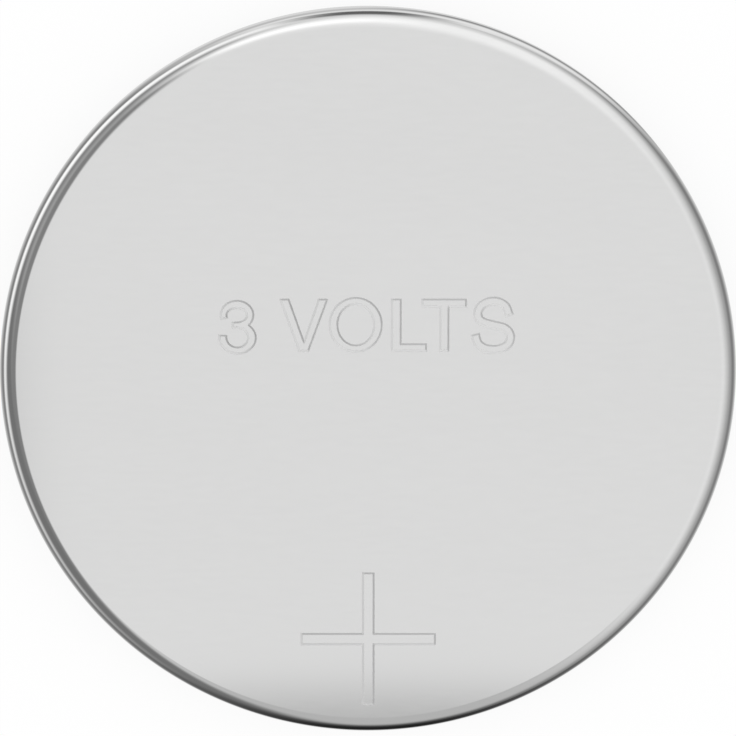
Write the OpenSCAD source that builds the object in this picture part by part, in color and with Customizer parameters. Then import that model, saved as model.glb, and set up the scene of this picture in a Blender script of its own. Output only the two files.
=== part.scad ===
// Lithium coin cell, 20 mm across and 1.6 mm high.
// It lies on its negative cap, with the can's flat positive face up.
// Every piece but the collector is a profile turned about the Z axis: x in a profile is the radius, y is the height.

/* [Cell] */
// Diameter over the can
cell_d = 20; // [18:0.5:25]
// Height from the cap's contact face to the can's contact face
cell_h = 1.6; // [1.5:0.1:3.2]

/* [Positive can] */
// Thickness of the can's steel sheet
can_t = 0.25; // [0.2:0.05:0.3]
// Outer radius of the drawn corner between the flat face and the wall
can_corner_r = 0.5; // [0.32:0.01:0.55]
// Outer radius of the curled lip
lip_r = 0.55; // [0.45:0.05:0.6]
// Angle that the lip turns inwards from the wall
lip_turn = 115; // [95:5:125]

/* [Negative cap] */
// Thickness of the cap's steel sheet
cap_t = 0.2; // [0.15:0.05:0.25]
// How far the cap's contact face stands out past the can's lip
cap_proud = 0.1; // [0.05:0.05:0.2]
// Outer radius of the corner round the contact face
cap_corner_r = 0.3; // [0.28:0.01:0.32]
// Width of the step from the cap's side wall out to its skirt
cap_step_w = 0.45; // [0.4:0.05:0.6]
// Outer radius of the fold where the side wall turns out into the step
cap_root_r = 0.1; // [0.05:0.01:0.12]
// Outer radius of the bend from the step up into the skirt
cap_skirt_r = 0.3; // [0.28:0.01:0.32]

/* [Gasket] */
// Gasket wall squeezed between the skirt and the can
gasket_t = 0.35; // [0.3:0.05:0.4]
// Gasket squeezed between the can's lip and the cap's step
gasket_grip = 0.2; // [0.2:0.05:0.3]
// Gasket under the skirt's edge, on the can's floor
gasket_foot = 0.2; // [0.15:0.05:0.3]
// Thickness of the gasket's inner lip
gasket_inner_t = 0.25; // [0.2:0.05:0.4]
// Height of the inner lip along the skirt
gasket_inner_h = 0.3; // [0.2:0.05:0.3]
// Height of the gasket's bare ring above the lowest point of the can's lip
gasket_recess = 0.15; // [0.1:0.05:0.2]

/* [Electrodes] */
// Thickness of the lithium disc
lithium_t = 0.28; // [0.2:0.02:0.32]
// Gap all round between the lithium disc and the cap's side wall
lithium_gap = 0.95; // [0.6:0.05:1.5]
// Thickness of the separator
separator_t = 0.12; // [0.08:0.02:0.16]
// Gap all round between the separator and the cap's side wall
separator_gap = 0.25; // [0.1:0.05:0.5]
// Gap all round between the cathode pellet and the gasket
pellet_gap = 0.95; // [0.6:0.05:1.5]
// Chamfer on the pellet's edges
pellet_chamfer = 0.06; // [0.03:0.01:0.1]

/* [Collector] */
// Thickness of the collector's steel sheet
collector_t = 0.1; // [0.05:0.01:0.12]
// Gap all round from the pellet's edge in to the collector's edge
collector_gap = 0.5; // [0.2:0.1:1]
// Long diagonal of the collector's diamond openings
diamond_w = 2; // [1.6:0.1:2.6]
// Short diagonal of the openings
diamond_h = 1; // [0.8:0.1:1.4]
// Width of the metal left between neighbouring openings
strand_w = 0.25; // [0.2:0.05:0.4]
// Width of the whole rim outside the openings
collector_rim = 0.4; // [0.3:0.1:0.8]

/* [Hidden] */
$fn = 96;

// Can
can_r = cell_d / 2;
can_inner_r = can_r - can_t;
can_floor_z = cell_h - can_t;
lip_centre = [can_r - lip_r, cap_proud + lip_r];

// Cap
skirt_r = can_inner_r - gasket_t;
cap_wall_r = skirt_r - cap_step_w;
cap_step_z = cap_proud + can_t + gasket_grip;
skirt_top_z = can_floor_z - gasket_foot;

// Gasket
gasket_bore_r = skirt_r - cap_t - gasket_inner_t;
gasket_face_z = cap_proud + gasket_recess;

// Electrodes, stacked from the cap's inside face up to the can's floor
cup_r = cap_wall_r - cap_t;
lithium_r = cup_r - lithium_gap;
separator_r = cup_r - separator_gap;
pellet_r = gasket_bore_r - pellet_gap;
collector_r = pellet_r - collector_gap;
separator_z = cap_t + lithium_t;
pellet_z = separator_z + separator_t;
collector_z = can_floor_z - collector_t;

// Rectangle from one corner to the opposite one
module patch(low, high) {
    translate(low) square(high - low);
}

// What a square corner has outside an arc that touches both its sides.
// The corner is at one end of the patch's diagonal, and way points along it.
module spandrel(corner, r, way) {
    difference() {
        translate(corner + r * [min(way.x, 0), min(way.y, 0)]) square(r);
        translate(corner + r * way) circle(r);
    }
}

// Room inside the can above its lip, set back from the outside by a distance
module can_fill(inset) {
    high = [can_r - inset, cell_h - inset];
    difference() {
        patch([0, lip_centre.y], high);
        spandrel(high, can_corner_r - inset, [-1, -1]);
    }
}

// Lip, curled about its centre from the wall inwards
module lip_profile() {
    reach = 2 * lip_r;
    translate(lip_centre) difference() {
        intersection() {
            circle(lip_r);
            polygon([
                [0, 0], [reach, 0], [reach, -reach],
                reach * [cos(lip_turn), -sin(lip_turn)]
            ]);
        }
        circle(lip_r - can_t);
    }
}

// Room inside the cap, up to the skirt's edge, set back from the outside by a distance
module cap_fill(inset) {
    wall = cap_wall_r - inset;
    skirt = skirt_r - inset;
    step_z = cap_step_z + inset;
    difference() {
        patch([0, inset], [wall, skirt_top_z]);
        spandrel([wall, inset], cap_corner_r - inset, [-1, 1]);
    }
    difference() {
        patch([0, step_z], [skirt, skirt_top_z]);
        spandrel([skirt, step_z], cap_skirt_r - inset, [-1, 1]);
    }
    spandrel([wall, step_z], cap_root_r + inset, [1, -1]);
}

// Drawn steel can: flat contact face, wall and curled lip
module positive_can() {
    color("silver") rotate_extrude() {
        difference() {
            can_fill(0);
            can_fill(can_t);
        }
        lip_profile();
    }
}

// Stepped steel cap: contact face, side wall, step and skirt, in one sheet
module negative_cap() {
    color("gainsboro") rotate_extrude() difference() {
        cap_fill(0);
        cap_fill(cap_t);
    }
}

// Moulded gasket: it takes the shape of the room between can and cap, and folds round the skirt's edge
module gasket() {
    color("dimgray") rotate_extrude() {
        difference() {
            union() {
                intersection() {
                    can_fill(can_t);
                    patch([gasket_bore_r, 0], [can_r, cell_h]);
                }
                translate(lip_centre) circle(lip_r - can_t);
                patch([cap_wall_r, gasket_face_z], lip_centre);
            }
            cap_fill(0);
            lip_profile();
        }
        intersection() {
            cap_fill(cap_t);
            patch([gasket_bore_r, skirt_top_z - gasket_inner_h], [skirt_r, skirt_top_z]);
        }
    }
}

// Lithium disc, pressed on the inside of the cap
module lithium_anode() {
    color("lightsteelblue") translate([0, 0, cap_t])
        cylinder(r = lithium_r, h = lithium_t);
}

// Separator, between the lithium and the pellet
module separator() {
    color("white") translate([0, 0, separator_z])
        cylinder(r = separator_r, h = separator_t);
}

// Pressed cathode pellet with chamfered edges
module cathode_pellet() {
    edge = pellet_r - pellet_chamfer;
    color("darkslategray") rotate_extrude() polygon([
        [0, pellet_z], [edge, pellet_z],
        [pellet_r, pellet_z + pellet_chamfer], [pellet_r, collector_z - pellet_chamfer],
        [edge, collector_z], [0, collector_z]
    ]);
}

// Expanded steel sheet on the can's floor, open in staggered rows of diamonds
module cathode_collector() {
    pitch = [diamond_w, diamond_h] * (1 + strand_w / diamond_h);
    field_r = collector_r - collector_rim;
    columns = ceil(2 * field_r / pitch.x);
    rows = ceil(2 * field_r / pitch.y);
    color("slategray") translate([0, 0, collector_z]) linear_extrude(collector_t) difference() {
        circle(collector_r);
        for (i = [-columns:columns], j = [-rows:rows])
            if ((i + j) % 2 == 0) {
                at = [i * pitch.x, j * pitch.y] / 2;
                if (norm([abs(at.x) + diamond_w / 2, at.y]) < field_r)
                    translate(at) polygon([
                        [diamond_w / 2, 0], [0, diamond_h / 2],
                        [-diamond_w / 2, 0], [0, -diamond_h / 2]
                    ]);
            }
    }
}

positive_can();
cathode_collector();
cathode_pellet();
separator();
lithium_anode();
gasket();
negative_cap();
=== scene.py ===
import math
import bpy
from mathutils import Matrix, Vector
from mathutils.geometry import delaunay_2d_cdt


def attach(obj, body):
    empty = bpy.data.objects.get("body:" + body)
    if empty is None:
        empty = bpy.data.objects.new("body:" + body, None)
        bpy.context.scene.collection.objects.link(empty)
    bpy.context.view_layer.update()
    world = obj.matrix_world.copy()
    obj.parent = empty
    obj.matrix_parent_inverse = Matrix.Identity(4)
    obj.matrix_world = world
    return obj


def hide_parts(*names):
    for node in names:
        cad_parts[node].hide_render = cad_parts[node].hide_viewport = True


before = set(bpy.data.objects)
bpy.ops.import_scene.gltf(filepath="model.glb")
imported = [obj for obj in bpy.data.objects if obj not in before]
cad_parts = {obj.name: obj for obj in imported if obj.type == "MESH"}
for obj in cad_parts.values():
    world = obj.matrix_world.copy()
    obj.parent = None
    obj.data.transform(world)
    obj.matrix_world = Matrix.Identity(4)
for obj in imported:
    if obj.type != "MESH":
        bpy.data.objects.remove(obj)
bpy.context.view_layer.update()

mm = 0.001             # sizes below are in millimetres, meshes in metres
fullTurn = 2 * math.pi
degrees = 180 / math.pi
turnSteps = 512        # steps round the cell's axis
smoothCosine = 0.8     # a corner of a face takes the shape's own normal where it is this close to the face's
tiny, rimGap = 1e-6, 1e-4    # lengths that count as nothing, and as off the rim


# a turned sheet's profile is a list of (radius, height, normal out, normal up)

def arc(centre, radius, start, end, hollow=False, steps=14):
    side = -1 if hollow else 1
    points = []
    for i in range(steps + 1):
        a = math.radians(start + (end - start) * i / steps)
        c, s = math.cos(a), math.sin(a)
        points.append((centre[0] + radius * c, centre[1] + radius * s, side * c, side * s))
    return points


def corner(r, z):
    return [(r, z, 0.0, 0.0)]    # no normal of its own, so both faces keep theirs


def turn(profile, verts, normals, faces, firstRing=None):
    # spins the profile; a point on the axis becomes one vertex, and firstRing joins it to a ring made before
    rings = []
    for i, (r, z, nr, nz) in enumerate(profile):
        if i == 0 and firstRing:
            rings.append(firstRing)
            continue
        ring = []
        for k in range(1 if r == 0 else turnSteps):
            a = fullTurn * k / turnSteps
            c, s = math.cos(a), math.sin(a)
            ring.append(len(verts))
            verts.append((r * c, r * s, z))
            normals.append((nr * c, nr * s, nz))
        rings.append(ring)
    for lower, upper in zip(rings, rings[1:]):
        for k in range(turnSteps):
            n = (k + 1) % turnSteps
            if len(upper) == 1:
                faces.append((lower[k], lower[n], upper[0]))
            elif len(lower) == 1:
                faces.append((lower[0], upper[n], upper[k]))
            else:
                faces.append((lower[k], lower[n], upper[n], upper[k]))


def addMesh(name, verts, faces):
    mesh = bpy.data.meshes.new(name)
    mesh.from_pydata([Vector(v) * mm for v in verts], [], faces)
    mesh.update()
    obj = bpy.data.objects.new(name, mesh)
    bpy.context.scene.collection.objects.link(obj)
    return obj


def smoothMesh(name, verts, normals, faces):
    obj = addMesh(name, verts, faces)
    loopNormals = []
    for poly in obj.data.polygons:
        poly.use_smooth = True
        for v in poly.vertices:
            n = Vector(normals[v])
            loopNormals.append(n if n.dot(poly.normal) > smoothCosine else poly.normal.copy())
    obj.data.normals_split_custom_set(loopNormals)
    return obj


# positive can, with the marks stamped in its face

can = dict(
    radius=10.0, height=1.6, sheet=0.25,
    cornerRadius=0.50, lipRadius=0.55, lipTurn=115, lipZ=0.65,
    plusAt=(0.01, -7.25), plusSpan=(3.66, 3.72), plusArm=0.29,
    rating="3VOLTS", ratingBase=0.805,
    ratingLeft=(-4.005, -2.353, -1.028, 0.648, 1.467, 2.782),
    plusDepth=0.009, ratingDepth=0.012,    # depth of the marks' floors
    stampSlope=0.030,    # half the width of the marks' sloping walls
    wallShare=0.9,       # share of that width that has the walls' own finish
    contours=(-1.0, -0.6, -0.25, 0.25, 0.6, 1.0),    # lines of points along the walls, as shares of it too
    faceRings=16, ringDensity=1.5, fewestInRing=8,    # rings of points over the plain face, and their points
    outsideSteps=24,     # steps of each bend on the outside
)

# plain capitals 1.4 mm high, in millimetres from the left end of the base line; one list of points per outline
letters = dict(
    V=[[(0.50, 0), (0.74, 0), (1.255, 1.40), (1.037, 1.40), (0.63, 0.22), (0.218, 1.40), (0, 1.40)]],
    L=[[(0, 0), (0.92, 0), (0.92, 0.178), (0.234, 0.178), (0.234, 1.40), (0, 1.40)]],
    T=[[(0.482, 0), (0.70, 0), (0.70, 1.211), (1.17, 1.211),
        (1.17, 1.40), (0, 1.40), (0, 1.211), (0.482, 1.211)]],
)


def sweep(centre, radii, start, end, every=4):
    # points on an ellipse, one about every few degrees
    steps = max(2, round(abs(end - start) / every))
    spots = [math.radians(start + (end - start) * i / steps) for i in range(steps + 1)]
    return [(centre[0] + radii[0] * math.cos(a), centre[1] + radii[1] * math.sin(a)) for a in spots]


def smoothLine(middle, steps=6):
    # a curve through the points, each step of it bent by the points before and after
    line = []
    padded = [middle[0]] + middle + [middle[-1]]
    for a, b, c, d in zip(padded, padded[1:], padded[2:], padded[3:]):
        for i in range(steps):
            u = i / steps
            line.append(tuple(
                0.5 * (2 * b[k] + (c[k] - a[k]) * u + (2 * a[k] - 5 * b[k] + 4 * c[k] - d[k]) * u * u
                       + (3 * b[k] - a[k] - 3 * c[k] + d[k]) * u ** 3) for k in (0, 1)))
    line.append(middle[-1])
    return line


def strokeOutline(middle, width):
    # outline of a stroke whose middle line runs smoothly through the points
    line = smoothLine(middle)
    left, right = [], []
    for i, (x, y) in enumerate(line):
        (ax, ay), (bx, by) = line[max(i - 1, 0)], line[min(i + 1, len(line) - 1)]
        size = math.hypot(bx - ax, by - ay)
        nx, ny = (ay - by) / size * width / 2, (bx - ax) / size * width / 2
        left.append((x + nx, y + ny))
        right.append((x - nx, y - ny))
    return left + right[::-1]


letters["O"] = [
    sweep((0.70, 0.711), (0.70, 0.734), 0, 356),
    sweep((0.70, 0.711), (0.495, 0.567), 0, 356),
]
letters["S"] = [strokeOutline([
    (1.020, 0.974), (0.935, 1.203), (0.774, 1.322), (0.599, 1.357), (0.409, 1.322), (0.248, 1.203),
    (0.175, 1.025), (0.225, 0.861), (0.365, 0.772), (0.613, 0.704), (0.876, 0.639), (1.016, 0.520),
    (1.063, 0.362), (0.993, 0.178), (0.803, 0.065), (0.584, 0.039), (0.365, 0.074), (0.190, 0.208),
    (0.117, 0.437),
], width=0.195)]
letters["3"] = [
    sweep((0.482, 0.979), (0.438, 0.386), 195, -46) + sweep((0.491, 0.356), (0.491, 0.430), 53, -188)
    + sweep((0.482, 0.362), (0.292, 0.273), -190, 90) + [(0.368, 0.635), (0.368, 0.770)]
    + sweep((0.473, 0.973), (0.276, 0.199), -90, 200)
]


def plusOutline(at, span, arm):
    x, y = at
    a, sx, sy = arm / 2, span[0] / 2, span[1] / 2
    corners = [(a, a), (a, sy), (-a, sy), (-a, a), (-sx, a), (-sx, -a),
               (-a, -a), (-a, -sy), (a, -sy), (a, -a), (sx, -a), (sx, a)]
    return [(x + dx, y + dy) for dx, dy in corners]


def loopEdges(loop):
    return zip(loop, loop[1:] + loop[:1])


def cleanLoop(loop, gap=0.012, longest=0.09, endGap=0.035):
    # drops points that nearly coincide, and splits long edges with a point close to each end
    kept = []
    for p in loop:
        if not kept or math.dist(p, kept[-1]) > gap:
            kept.append(p)
    while math.dist(kept[0], kept[-1]) <= gap:
        kept.pop()
    split = []
    for a, b in loopEdges(kept):
        size = math.dist(a, b)
        shares = [0.0]
        if size > longest:
            near = endGap / size
            parts = math.ceil(size * (1 - 2 * near) / longest)
            shares += [near + (1 - 2 * near) * i / parts for i in range(parts + 1)]
        split += [(a[0] + (b[0] - a[0]) * s, a[1] + (b[1] - a[1]) * s) for s in shares]
    return split


def offsetLoop(loop, out, mitreLimit=0.4):
    # moves each edge outwards, to the right of its direction, with mitred corners
    moved = []
    count = len(loop)
    for i in range(count):
        before, here, after = Vector(loop[i - 1]), Vector(loop[i]), Vector(loop[(i + 1) % count])
        d1, d2 = (here - before).normalized(), (after - here).normalized()
        n1, n2 = Vector((d1.y, -d1.x)), Vector((d2.y, -d2.x))
        mid = (n1 + n2).normalized()
        moved.append(tuple(here + mid * (out / max(mitreLimit, mid.dot(n1)))))
    return moved


def markLoops(s):
    # the marks' outlines on the face, and how deep each is stamped
    loops, depths = [plusOutline(s["plusAt"], s["plusSpan"], s["plusArm"])], [s["plusDepth"]]
    for letter, left in zip(s["rating"], s["ratingLeft"]):
        for outline in letters[letter]:
            loops.append([(left + x, s["ratingBase"] + y) for x, y in outline])
            depths.append(s["ratingDepth"])
    loops = [cleanLoop(loop) for loop in loops]
    print("marks:", len(loops), "outlines,", sum(len(loop) for loop in loops), "points")
    return loops, depths


def nearestOutline(x, y, edges):
    # distance to the outlines, the way from the nearest point on them, and that mark's depth
    best, bestVec, bestDepth = math.inf, None, None
    for ax, ay, ex, ey, ll, depth in edges:
        t = max(0.0, min(1.0, ((x - ax) * ex + (y - ay) * ey) / ll))
        dx, dy = x - (ax + ex * t), y - (ay + ey * t)
        d = dx * dx + dy * dy
        if d < best:
            best, bestVec, bestDepth = d, (dx, dy), depth
    return math.sqrt(best), bestVec, bestDepth


def insideMarks(x, y, loops):
    inside = False
    for loop in loops:
        for (ax, ay), (bx, by) in loopEdges(loop):
            if (ay > y) != (by > y) and x < ax + (y - ay) * (bx - ax) / (by - ay):
                inside = not inside
    return inside


def ringPoints(radius, count, shift=0.0):
    spots = [fullTurn * (i + shift) / count for i in range(count)]
    return [Vector((radius * math.cos(a), radius * math.sin(a))) for a in spots]


def flatFace(s, faceR, loops):
    # flat triangles inside the rim, with contour lines along each outline and plain rings of points between
    flat = ringPoints(faceR, turnSteps)
    links = [(k, (k + 1) % turnSteps) for k in range(turnSteps)]
    for loop in loops:
        for share in s["contours"]:
            ring = offsetLoop(loop, share * s["stampSlope"])
            first = len(flat)
            flat += [Vector(p) for p in ring]
            links += [(first + i, first + (i + 1) % len(ring)) for i in range(len(ring))]
    for k in range(1, s["faceRings"]):
        count = max(s["fewestInRing"], round(fullTurn * k * s["ringDensity"]))
        flat += ringPoints(faceR * k / s["faceRings"], count, 0.5 * (k % 2))    # every other ring is staggered
    keepInside, weldGap = 1, 1e-5
    made = delaunay_2d_cdt(flat, links, [list(range(turnSteps))], keepInside, weldGap)
    return made[0], made[2]    # its points and its triangles


def stampPoint(x, y, s, loops, edges):
    # where a point of the face ends up, its normal, and whether it is on a mark's wall
    slope, top = s["stampSlope"], s["height"]
    dist, away, depth = nearestOutline(x, y, edges)
    low = insideMarks(x, y, loops)
    onWall = dist < s["wallShare"] * slope
    if dist >= slope:
        return (x, y, top - (depth if low else 0)), (0, 0, 1), onWall
    side = -1 if low else 1
    t = (slope - side * dist) / (2 * slope)          # 0 at the wall's top, 1 at its foot
    z = top - depth * t * t * (3 - 2 * t)
    steep = depth * 6 * t * (1 - t) / (2 * slope)    # how fast the face rises away from the mark
    size = math.hypot(*away)
    ux, uy = (side * away[0] / size, side * away[1] / size) if size > tiny else (0, 0)
    return (x, y, z), tuple(Vector((-ux * steep, -uy * steep, 1)).normalized()), onWall


def makeCan(s):
    top, sheet, lipRadius = s["height"], s["sheet"], s["lipRadius"]
    faceR = s["radius"] - s["cornerRadius"]
    bend = (faceR, top - s["cornerRadius"])
    lip = (s["radius"] - lipRadius, s["lipZ"])

    loops, depths = markLoops(s)
    edges = [(ax, ay, bx - ax, by - ay, (bx - ax) ** 2 + (by - ay) ** 2, depth)
             for loop, depth in zip(loops, depths) for (ax, ay), (bx, by) in loopEdges(loop)]
    flat, faces = flatFace(s, faceR, loops)
    verts, normals, onWall = map(list, zip(*(stampPoint(p.x, p.y, s, loops, edges) for p in flat)))
    rim = sorted((i for i, p in enumerate(flat) if abs(p.length - faceR) < rimGap),
                 key=lambda i: math.atan2(flat[i].y, flat[i].x) % fullTurn)
    print("can face:", len(flat), "points,", len(faces), "faces, rim", len(rim))

    profile = [(faceR, top, 0, 1)] + arc(bend, s["cornerRadius"], 90, 0, steps=s["outsideSteps"])[1:]
    profile += arc(lip, lipRadius, 0, -s["lipTurn"], steps=s["outsideSteps"])[:-1]
    lipEnd = math.radians(-s["lipTurn"])
    for r in (lipRadius, lipRadius - sheet):
        profile += corner(lip[0] + r * math.cos(lipEnd), lip[1] + r * math.sin(lipEnd))
    profile += arc(lip, lipRadius - sheet, -s["lipTurn"], 0, True)[1:]
    profile += arc(bend, s["cornerRadius"] - sheet, 0, 90, True)
    profile += [(0, top - sheet, 0, -1)]
    side = []
    turn(profile, verts, normals, side, firstRing=rim)
    # the profile runs down the outside, so its faces are turned over
    obj = smoothMesh("positiveCanShell", verts, normals, faces + [f[::-1] for f in side])
    for poly, face in zip(obj.data.polygons, faces):
        poly.material_index = int(any(onWall[v] for v in face))
    return obj


canShell = makeCan(can)
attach(canShell, "root")
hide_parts("positive_can")


# negative cap, whose contact face is the underside

cap = dict(wallR=8.95, sheet=0.2, cornerRadius=0.30, stepZ=0.55, rootRadius=0.10,
           skirtR=9.4, skirtRadius=0.30, skirtTop=1.15, cornerSteps=20)


def makeCap(s):
    t, wall, skirt = s["sheet"], s["wallR"], s["skirtR"]
    foot = (wall - s["cornerRadius"], s["cornerRadius"])
    root = (wall + s["rootRadius"], s["stepZ"] - s["rootRadius"])
    bend = (skirt - s["skirtRadius"], s["stepZ"] + s["skirtRadius"])
    profile = [(0, 0, 0, -1)] + arc(foot, s["cornerRadius"], -90, 0, steps=s["cornerSteps"])
    profile += arc(root, s["rootRadius"], 180, 90, True)
    profile += arc(bend, s["skirtRadius"], -90, 0)
    profile += corner(skirt, s["skirtTop"]) + corner(skirt - t, s["skirtTop"])
    profile += arc(bend, s["skirtRadius"] - t, 0, -90, True)
    profile += arc(root, s["rootRadius"] + t, 90, 180)
    profile += arc(foot, s["cornerRadius"] - t, 0, -90, True)
    profile += [(0, t, 0, 1)]
    verts, normals, faces = [], [], []
    turn(profile, verts, normals, faces)
    return smoothMesh("negativeCapShell", verts, normals, faces)


capShell = makeCap(cap)
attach(capShell, "root")
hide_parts("negative_cap")
print("cap made:", len(capShell.data.polygons), "faces")


# helpers for shader nodes: an input may be given as a fixed value or as the output that feeds it

def feed(tree, socket, value):
    if isinstance(value, (int, float, tuple)):
        socket.default_value = value
    elif value is not None:
        tree.links.new(value, socket)


def mathNode(tree, operation, a, b=None):
    node = tree.nodes.new("ShaderNodeMath")
    node.operation = operation
    for socket, value in zip(node.inputs, (a, b)):
        feed(tree, socket, value)
    return node.outputs[0]


def vectorNode(tree, operation, a, b=None, output=0):
    node = tree.nodes.new("ShaderNodeVectorMath")
    node.operation = operation
    for socket, value in zip(node.inputs, (a, b)):
        feed(tree, socket, value)
    return node.outputs[output]


def mixNode(tree, share, a, b):
    node = tree.nodes.new("ShaderNodeMix")
    for label, value in (("Factor", share), ("A", a), ("B", b)):
        feed(tree, node.inputs[label], value)
    return node.outputs["Result"]


def edgeNode(tree, value, start, end, low, high):
    node = tree.nodes.new("ShaderNodeMapRange")
    node.interpolation_type = "SMOOTHSTEP"
    given = {"Value": value, "From Min": start, "From Max": end, "To Min": low, "To Max": high}
    for label, item in given.items():
        feed(tree, node.inputs[label], item)
    return node.outputs["Result"]


def emptyMaterial(name):
    # a new material with nothing in it but its output, whose surface socket comes along
    mat = bpy.data.materials.new(name)
    mat.use_nodes = True
    tree = mat.node_tree
    tree.nodes.clear()
    return mat, tree, tree.nodes.new("ShaderNodeOutputMaterial").inputs["Surface"]


# finishes

# scale and detail of the grain's two layers of noise, the broad one's share, and the part of the noise in use
grainLook = dict(fine=(9000.0, 3.0), broad=(400.0, 2.0), broadShare=0.4, used=(0.3, 0.7))


def grainGroup(s):
    # fine rolled grain: a mask for tone and roughness, and a height for bump
    group = bpy.data.node_groups.new("rolledGrain", "ShaderNodeTree")
    for label in ("Fineness", "Stretch"):
        group.interface.new_socket(label, in_out="INPUT", socket_type="NodeSocketFloat").default_value = 1.0
    for label in ("Mask", "Height"):
        group.interface.new_socket(label, in_out="OUTPUT", socket_type="NodeSocketFloat")
    nodes, links = group.nodes, group.links
    start, end = nodes.new("NodeGroupInput"), nodes.new("NodeGroupOutput")
    split, join = nodes.new("ShaderNodeSeparateXYZ"), nodes.new("ShaderNodeCombineXYZ")
    links.new(nodes.new("ShaderNodeTexCoord").outputs["Object"], split.inputs[0])
    links.new(mathNode(group, "MULTIPLY", split.outputs["X"], start.outputs["Stretch"]), join.inputs["X"])
    for axis in ("Y", "Z"):
        links.new(split.outputs[axis], join.inputs[axis])
    scale = nodes.new("ShaderNodeVectorMath")
    scale.operation = "SCALE"
    links.new(join.outputs[0], scale.inputs[0])
    links.new(start.outputs["Fineness"], scale.inputs["Scale"])
    layers = []
    for size, detail in (s["fine"], s["broad"]):
        noise = nodes.new("ShaderNodeTexNoise")
        noise.inputs["Scale"].default_value = size
        noise.inputs["Detail"].default_value = detail
        links.new(scale.outputs[0], noise.inputs["Vector"])
        layers.append(noise.outputs["Fac"])
    fine, broad = layers
    links.new(mixNode(group, s["broadShare"], fine, broad), end.inputs["Mask"])
    links.new(fine, end.inputs["Height"])
    return group


grain = grainGroup(grainLook)


def grey(value, tint=0.0):
    return (value, value, value - tint)


# tones and rough are what the grain runs between; lift is the depth of a bump in millimetres
finishes = dict(
    canSteel=dict(metallic=1.0, tones=(grey(0.692, 0.002), grey(0.710, 0.002)), rough=(0.06, 0.09),
                  stretch=0.2),
    stampedSteel=dict(metallic=1.0, tones=(grey(0.72, 0.002), grey(0.76, 0.002)), rough=(0.50, 0.58)),
    capSteel=dict(metallic=1.0, tones=(grey(0.64, 0.002), grey(0.68, 0.002)), rough=(0.20, 0.28), bump=0.08),
    collectorSteel=dict(metallic=1.0, tones=(grey(0.48), grey(0.56)), rough=(0.25, 0.4)),
    gasketPlastic=dict(metallic=0.0, tones=(grey(0.075, -0.004), grey(0.11, -0.005)), rough=(0.45, 0.6),
                       bump=0.2),
    lithiumMetal=dict(metallic=1.0, tones=((0.52, 0.53, 0.56), (0.64, 0.65, 0.67)), rough=(0.4, 0.6),
                      fineness=0.6, stretch=0.3, bump=0.4),
    separatorFleece=dict(metallic=0.0, tones=(grey(0.74, 0.01), grey(0.86, 0.01)), rough=(0.8, 0.95),
                         fineness=0.5, stretch=3.0, bump=0.6),
    cathodeMix=dict(metallic=0.0, tones=(grey(0.018), grey(0.05)), rough=(0.7, 0.9),
                    fineness=1.5, bump=0.8, lift=0.004),
)


def grainyMaterial(name, s):
    mat, tree, surface = emptyMaterial(name)
    nodes, links = tree.nodes, tree.links
    shader = nodes.new("ShaderNodeBsdfPrincipled")
    links.new(shader.outputs["BSDF"], surface)
    shader.inputs["Metallic"].default_value = s["metallic"]
    grainNode = nodes.new("ShaderNodeGroup")
    grainNode.node_tree = grain
    grainNode.inputs["Fineness"].default_value = s.get("fineness", 1.0)
    grainNode.inputs["Stretch"].default_value = s.get("stretch", 1.0)
    low, high = grainLook["used"]
    tone = nodes.new("ShaderNodeValToRGB")
    for stop, place, colour in zip(tone.color_ramp.elements, (low, high), s["tones"]):
        stop.position = place
        stop.color = (*colour, 1)
    links.new(grainNode.outputs["Mask"], tone.inputs["Fac"])
    links.new(tone.outputs["Color"], shader.inputs["Base Color"])
    spread = nodes.new("ShaderNodeMapRange")
    spread.inputs["From Min"].default_value, spread.inputs["From Max"].default_value = low, high
    spread.inputs["To Min"].default_value, spread.inputs["To Max"].default_value = s["rough"]
    links.new(grainNode.outputs["Mask"], spread.inputs["Value"])
    links.new(spread.outputs["Result"], shader.inputs["Roughness"])
    if "bump" in s:
        raised = nodes.new("ShaderNodeBump")
        raised.inputs["Strength"].default_value = s["bump"]
        raised.inputs["Distance"].default_value = s.get("lift", 0.002) * mm
        links.new(grainNode.outputs["Height"], raised.inputs["Height"])
        links.new(raised.outputs["Normal"], shader.inputs["Normal"])
    return mat


materials = {name: grainyMaterial(name, s) for name, s in finishes.items()}
inside = dict(cathode_collector="collectorSteel", cathode_pellet="cathodeMix", separator="separatorFleece",
              lithium_anode="lithiumMetal", gasket="gasketPlastic")
for node, finish in inside.items():
    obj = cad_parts[node]
    obj.data.materials.clear()
    obj.data.materials.append(materials[finish])
canShell.data.materials.append(materials["canSteel"])
canShell.data.materials.append(materials["stampedSteel"])    # walls of the marks
capShell.data.materials.append(materials["capSteel"])
print("materials set")


# studio: white floor and world, and a tent and floor card that only reflections see

studio = dict(
    world=1.0, floorRadius=900, floorTone=1.0, floorGlow=0.85,
    tentRadius=60, cardInner=8.8, cardOuter=60, cardLift=0.003, floorDrop=0.004,
    # light of the tent by the angle from straight up, and of the floor card by the distance from the axis,
    # with painted contact shadow on the floor card nearest the rim
    tentLight=[(0, 0.99), (22, 0.99), (37, 1.03), (45, 0.97), (60, 0.77), (75, 0.55), (90, 0.40)],
    # the floor card's stops from 8.8 to 9.9 mm, down to 0.08, are painted contact shadow under the cell's lip,
    # seen only in reflections
    floorLightAndShadow=[(8.8, 0.08), (9.5, 0.25), (9.9, 0.6), (10.1, 0.82), (10.6, 0.82),
                (11.4, 0.6), (12.5, 0.36), (14.5, 0.27), (20, 0.31), (60, 0.4)],
)

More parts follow.
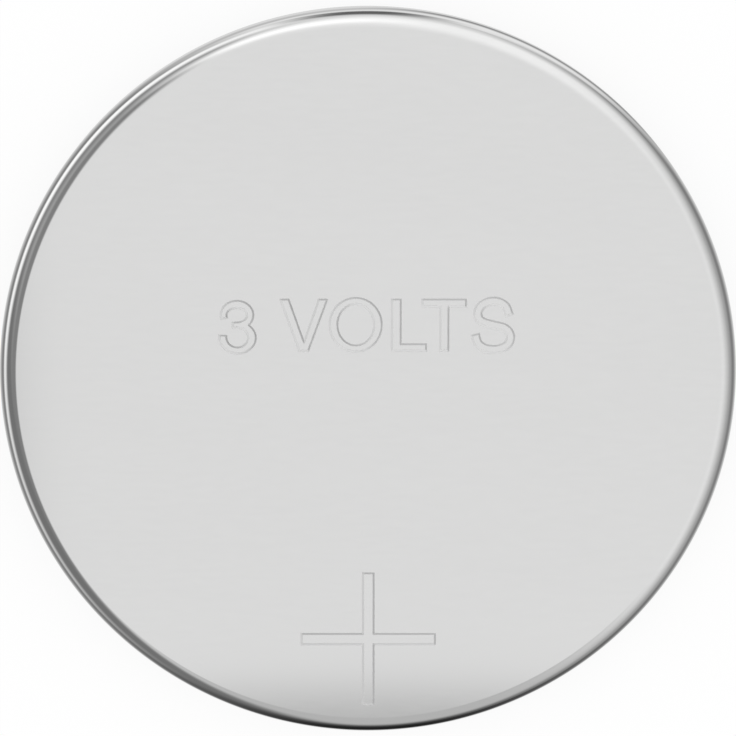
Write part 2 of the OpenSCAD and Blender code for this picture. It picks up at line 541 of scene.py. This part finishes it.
# cards in front of the tent: the way they face and how far to each side they are full and where they end,
# in degrees; where they rise and fall, in degrees from straight up, or, for a straight edge, in millimetres
# along their way
tentCards = [
    dict(name="left flag", way=183, full=62, none=98, rise=(14, 25), level=0.29, straight=True),
    dict(name="back glow", way=70, full=6, none=64, rise=(0, 44), fall=(58, 90), level=1.22),
    dict(name="flag sheen", way=162, full=27, none=62, rise=(36, 51), fall=(43, 70), level=0.49),
    dict(name="back soft box", way=107, full=6, none=36, rise=(25, 51), fall=(40, 72), level=1.60),
    dict(name="front shade", way=270, full=12, none=48, rise=(23.4, 26.3), level=0.62, straight=True),
    dict(name="low left flag", way=215, full=52, none=70, rise=(32, 44), level=0.23, straight=True),
    dict(name="horizon strip", way=147, full=3, none=123, rise=(66, 84), level=1.42),
    dict(name="front dark", way=270, full=4, none=52, rise=(63, 86), level=0.07),
    dict(name="back gap", way=92, full=3, none=19, rise=(72, 88), level=0.15),
]
# cards over the floor: the same, with distances from the axis in millimetres
floorCards = [
    dict(name="left strip", way=133, full=7, none=98, rise=(15, 27), level=1.18),
    dict(name="back strip", way=88, full=12, none=48, rise=(11, 12.8), level=1.09),
    dict(name="right glint", way=66, full=4, none=38, rise=(11, 12), fall=(13.5, 20), level=1.10),
    # this card is painted shade on the floor by the foot of the wall, seen only in reflections
    dict(name="right foot shade", way=62, full=14, none=32, rise=(10.08, 10.22), fall=(10.7, 11.6), level=0.36),
    dict(name="back gap", way=90, full=3, none=20, rise=(12.4, 15.5), level=0.16),
    # this card is a painted shadow of the cell on the floor in front of it, seen only in reflections
    dict(name="front dark", way=272, full=3, none=60, rise=(10.8, 12), level=0.02),
]
noFall = (500, 501)    # beyond the tent, for a card that never falls
rampRoom = 2           # a colour ramp holds the light divided by this, so that it stays under 1

scene = bpy.context.scene
scene.view_settings.view_transform = "Standard"
world = bpy.data.worlds.new("studioWorld")
scene.world = world
world.use_nodes = True
world.node_tree.nodes["Background"].inputs["Color"].default_value = (1, 1, 1, 1)
world.node_tree.nodes["Background"].inputs["Strength"].default_value = studio["world"]


def disc(name, inner, outer, z, steps=128):
    verts = [(p.x, p.y, z) for r in (inner, outer) for p in ringPoints(r, steps)]
    if inner == 0:
        verts = verts[steps:]
        faces = [tuple(range(steps))]
    else:
        faces = [(k, steps + k, steps + (k + 1) % steps, (k + 1) % steps) for k in range(steps)]
    obj = addMesh(name, verts, faces)
    return obj


def globe(name, radius, rows=48, steps=96):
    verts, faces = [(0, 0, -radius)], []
    for i in range(1, rows):
        e = math.pi * i / rows - math.pi / 2
        verts += [(p.x, p.y, radius * math.sin(e)) for p in ringPoints(radius * math.cos(e), steps)]
    verts.append((0, 0, radius))
    last = 1 + (rows - 2) * steps
    for k in range(steps):
        n = (k + 1) % steps
        faces.append((0, 1 + n, 1 + k))
        for low in range(1, last, steps):
            high = low + steps
            faces.append((low + k, low + n, high + n, high + k))
        faces.append((last + k, last + n, len(verts) - 1))
    obj = addMesh(name, verts, faces)
    return obj


def reflectionOnly(obj):
    obj.visible_camera = False
    obj.visible_diffuse = False
    obj.visible_shadow = False
    obj.visible_transmission = False
    obj.visible_volume_scatter = False


def lightCurve(tree, value, stops):
    # light along a value, through the stops
    low, high = stops[0][0], stops[-1][0]
    node = tree.nodes.new("ShaderNodeValToRGB")
    elements = node.color_ramp.elements
    while len(elements) > 1:
        elements.remove(elements[-1])
    for i, (at, light) in enumerate(stops):
        place = (at - low) / (high - low)
        item = elements[0] if i == 0 else elements.new(place)
        item.position = place
        item.color = (*grey(light / rampRoom), 1)
    scaled = mathNode(tree, "DIVIDE", mathNode(tree, "SUBTRACT", value, low), high - low)
    tree.links.new(scaled, node.inputs["Fac"])
    return mathNode(tree, "MULTIPLY", node.outputs["Color"], rampRoom)


def lightCardGroup():
    # lays one soft-edged card over the light so far
    group = bpy.data.node_groups.new("lightCard", "ShaderNodeTree")
    face = group.interface
    for label in ("Way", "Place"):
        face.new_socket(label, in_out="INPUT", socket_type="NodeSocketVector")
    for label in ("Light", "Reach", "Full", "None", "Rise Start", "Rise End",
                  "Fall Start", "Fall End", "Level", "Straight"):
        face.new_socket(label, in_out="INPUT", socket_type="NodeSocketFloat")
    face.new_socket("Light", in_out="OUTPUT", socket_type="NodeSocketFloat")
    start, end = group.nodes.new("NodeGroupInput"), group.nodes.new("NodeGroupOutput")
    given = start.outputs
    level = vectorNode(group, "NORMALIZE", vectorNode(group, "MULTIPLY", given["Place"], (1.0, 1.0, 0.0)))
    turned = mathNode(group, "ARCCOSINE", vectorNode(group, "DOT_PRODUCT", level, given["Way"], "Value"))
    turned = mathNode(group, "MULTIPLY", turned, degrees)
    along = vectorNode(group, "DOT_PRODUCT", given["Place"], given["Way"], "Value")
    reach = mixNode(group, given["Straight"], given["Reach"], mathNode(group, "DIVIDE", along, mm))
    rise = edgeNode(group, reach, given["Rise Start"], given["Rise End"], 0.0, 1.0)
    fall = edgeNode(group, reach, given["Fall Start"], given["Fall End"], 1.0, 0.0)
    side = edgeNode(group, turned, given["Full"], given["None"], 1.0, 0.0)
    share = mathNode(group, "MULTIPLY", mathNode(group, "MULTIPLY", rise, fall), side)
    group.links.new(mixNode(group, share, given["Light"], given["Level"]), end.inputs["Light"])
    return group


lightCard = lightCardGroup()


def glowMaterial(name, reachOf, stops, cards):
    mat, tree, surface = emptyMaterial(name)
    place = tree.nodes.new("ShaderNodeTexCoord").outputs["Object"]
    reach = reachOf(tree, place)
    light = lightCurve(tree, reach, stops)
    for c in cards:
        node = tree.nodes.new("ShaderNodeGroup")
        node.node_tree, node.label = lightCard, c["name"]
        way = math.radians(c["way"])
        node.inputs["Way"].default_value = (math.cos(way), math.sin(way), 0)
        rise, fall = c["rise"], c.get("fall", noFall)
        settings = {
            "Full": c["full"], "None": c["none"], "Rise Start": rise[0], "Rise End": rise[1],
            "Fall Start": fall[0], "Fall End": fall[1], "Level": c["level"],
            "Straight": float(c.get("straight", False)),
            "Place": place, "Reach": reach, "Light": light,
        }
        for label, value in settings.items():
            feed(tree, node.inputs[label], value)
        light = node.outputs["Light"]
    glow = tree.nodes.new("ShaderNodeEmission")
    tree.links.new(light, glow.inputs["Strength"])
    tree.links.new(glow.outputs[0], surface)
    return mat


def zenithAngle(tree, place):
    split = tree.nodes.new("ShaderNodeSeparateXYZ")
    tree.links.new(vectorNode(tree, "NORMALIZE", place), split.inputs[0])
    upward = mathNode(tree, "ABSOLUTE", split.outputs["Z"])
    return mathNode(tree, "MULTIPLY", mathNode(tree, "ARCCOSINE", upward), degrees)


def axisDistance(tree, place):
    return mathNode(tree, "DIVIDE", vectorNode(tree, "LENGTH", place, None, "Value"), mm)


def mixShaders(tree, share, first, second):
    node = tree.nodes.new("ShaderNodeMixShader")
    for socket, value in zip(node.inputs, (share, first.outputs[0], second.outputs[0])):
        tree.links.new(value, socket)
    return node


def floorMaterial(s):
    mat, tree, surface = emptyMaterial("floorWhite")
    paper = tree.nodes.new("ShaderNodeBsdfDiffuse")
    paper.inputs["Color"].default_value = (*grey(s["floorTone"]), 1)
    glow = tree.nodes.new("ShaderNodeEmission")
    path = tree.nodes.new("ShaderNodeLightPath")
    seen = mathNode(tree, "MAXIMUM", path.outputs["Is Camera Ray"], path.outputs["Is Glossy Ray"])
    seen = mathNode(tree, "MAXIMUM", seen, path.outputs["Is Transmission Ray"])
    lit = mixShaders(tree, mathNode(tree, "MULTIPLY", seen, s["floorGlow"]), paper, glow)
    # from below the floor is clear, so that the underside can be looked at
    clear = tree.nodes.new("ShaderNodeBsdfTransparent")
    side = tree.nodes.new("ShaderNodeNewGeometry")
    oneSided = mixShaders(tree, side.outputs["Backfacing"], lit, clear)
    tree.links.new(oneSided.outputs[0], surface)
    return mat


floor = disc("studioFloor", 0, studio["floorRadius"], -studio["floorDrop"])
floor.data.materials.append(floorMaterial(studio))
tent = globe("lightTent", studio["tentRadius"])
tent.data.materials.append(glowMaterial("tentGlow", zenithAngle, studio["tentLight"], tentCards))
card = disc("floorCard", studio["cardInner"], studio["cardOuter"], studio["cardLift"])
card.data.materials.append(glowMaterial("floorCardLightAndShadow", axisDistance, studio["floorLightAndShadow"], floorCards))
for obj in (tent, card):
    reflectionOnly(obj)
print("studio set")


# lean in degrees from straight up, towards +Y; scale in pixels per millimetre at the point aimed at;
# centre is that point's place in the frame, in pixels
view = dict(lean=10.968, distance=85.0, scale=36.660, centre=(367.94, 374.42), aim=(0, 0, 0.8),
            frame=736, sensor=36, clip=(0.001, 10))


def makeCamera(s):
    camera = bpy.data.cameras.new("camera")
    obj = bpy.data.objects.new("camera", camera)
    scene.collection.objects.link(obj)
    lean = math.radians(s["lean"])
    away = Vector((0, math.sin(lean), math.cos(lean)))
    obj.location = (Vector(s["aim"]) + away * s["distance"]) * mm
    obj.rotation_euler = (-lean, 0, 0)
    camera.sensor_width = s["sensor"]
    camera.lens = s["sensor"] * s["scale"] * s["distance"] / s["frame"]
    camera.shift_x = (s["frame"] / 2 - s["centre"][0]) / s["frame"]
    camera.shift_y = (s["centre"][1] - s["frame"] / 2) / s["frame"]
    camera.clip_start, camera.clip_end = s["clip"]
    scene.camera = obj
    return obj


makeCamera(view)
print("camera set")
